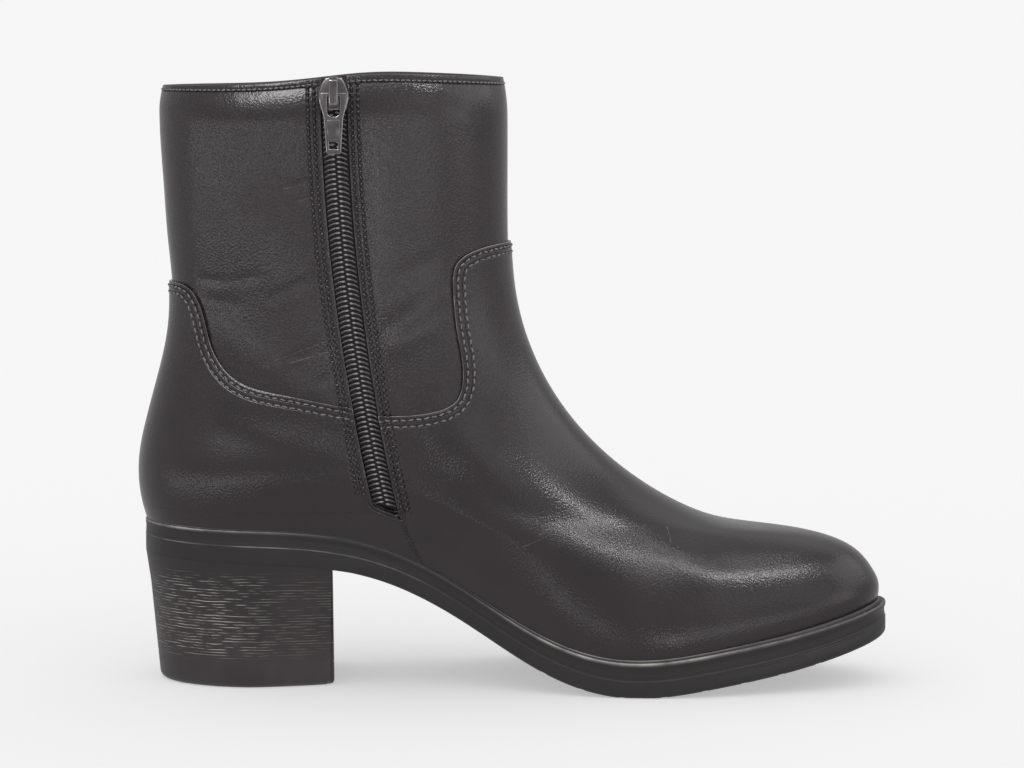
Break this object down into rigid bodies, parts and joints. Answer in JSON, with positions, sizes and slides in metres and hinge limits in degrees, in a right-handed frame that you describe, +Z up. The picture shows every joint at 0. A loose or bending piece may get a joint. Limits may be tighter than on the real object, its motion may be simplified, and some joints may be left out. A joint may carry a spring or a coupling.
{
  "type": "ankle boot",
  "caption": "Left leather ankle boot with a stacked block heel, rubber outsole, lapped front and rear panels and an inside zip with a pull tab.",
  "frame": {"origin": "middle of the boot's box, on the floor that it stands on", "axes": "+X towards the toe, -Y the inner side with the zip, +Z up"},
  "size_m": [0.262, 0.0916, 0.2117],
  "materials": {
    "leather": "black grained leather with a soft polish",
    "rubber": "satin black rubber",
    "heel_stack": "black, moulded with fine level streaks",
    "lining": "grey textile lining",
    "zip_tape": "woven black tape",
    "zip_coil": "dark nylon coil",
    "zip_metal": "dark satin metal"
  },
  "bodies": {
    "boot": {"outsole": "rubber", "heel": "heel_stack", "welt": "rubber", "insole": "lining", "upper": "leather", "front_panel": "leather", "rear_panel": "leather", "zip_tape": "zip_tape", "zip_chain": "zip_coil", "zip_slider": "zip_metal"},
    "pull_tab": {"pull_tab": "zip_metal"}
  },
  "joints": [
    {"name": "pull_tab_hinge", "type": "hinge", "parent": "boot", "child": "pull_tab", "pos_m": [-0.06, -0.0391, 0.2048], "axis": [-0.9998, -0.0217, 0], "range_deg": [0, 165]}
  ]
}
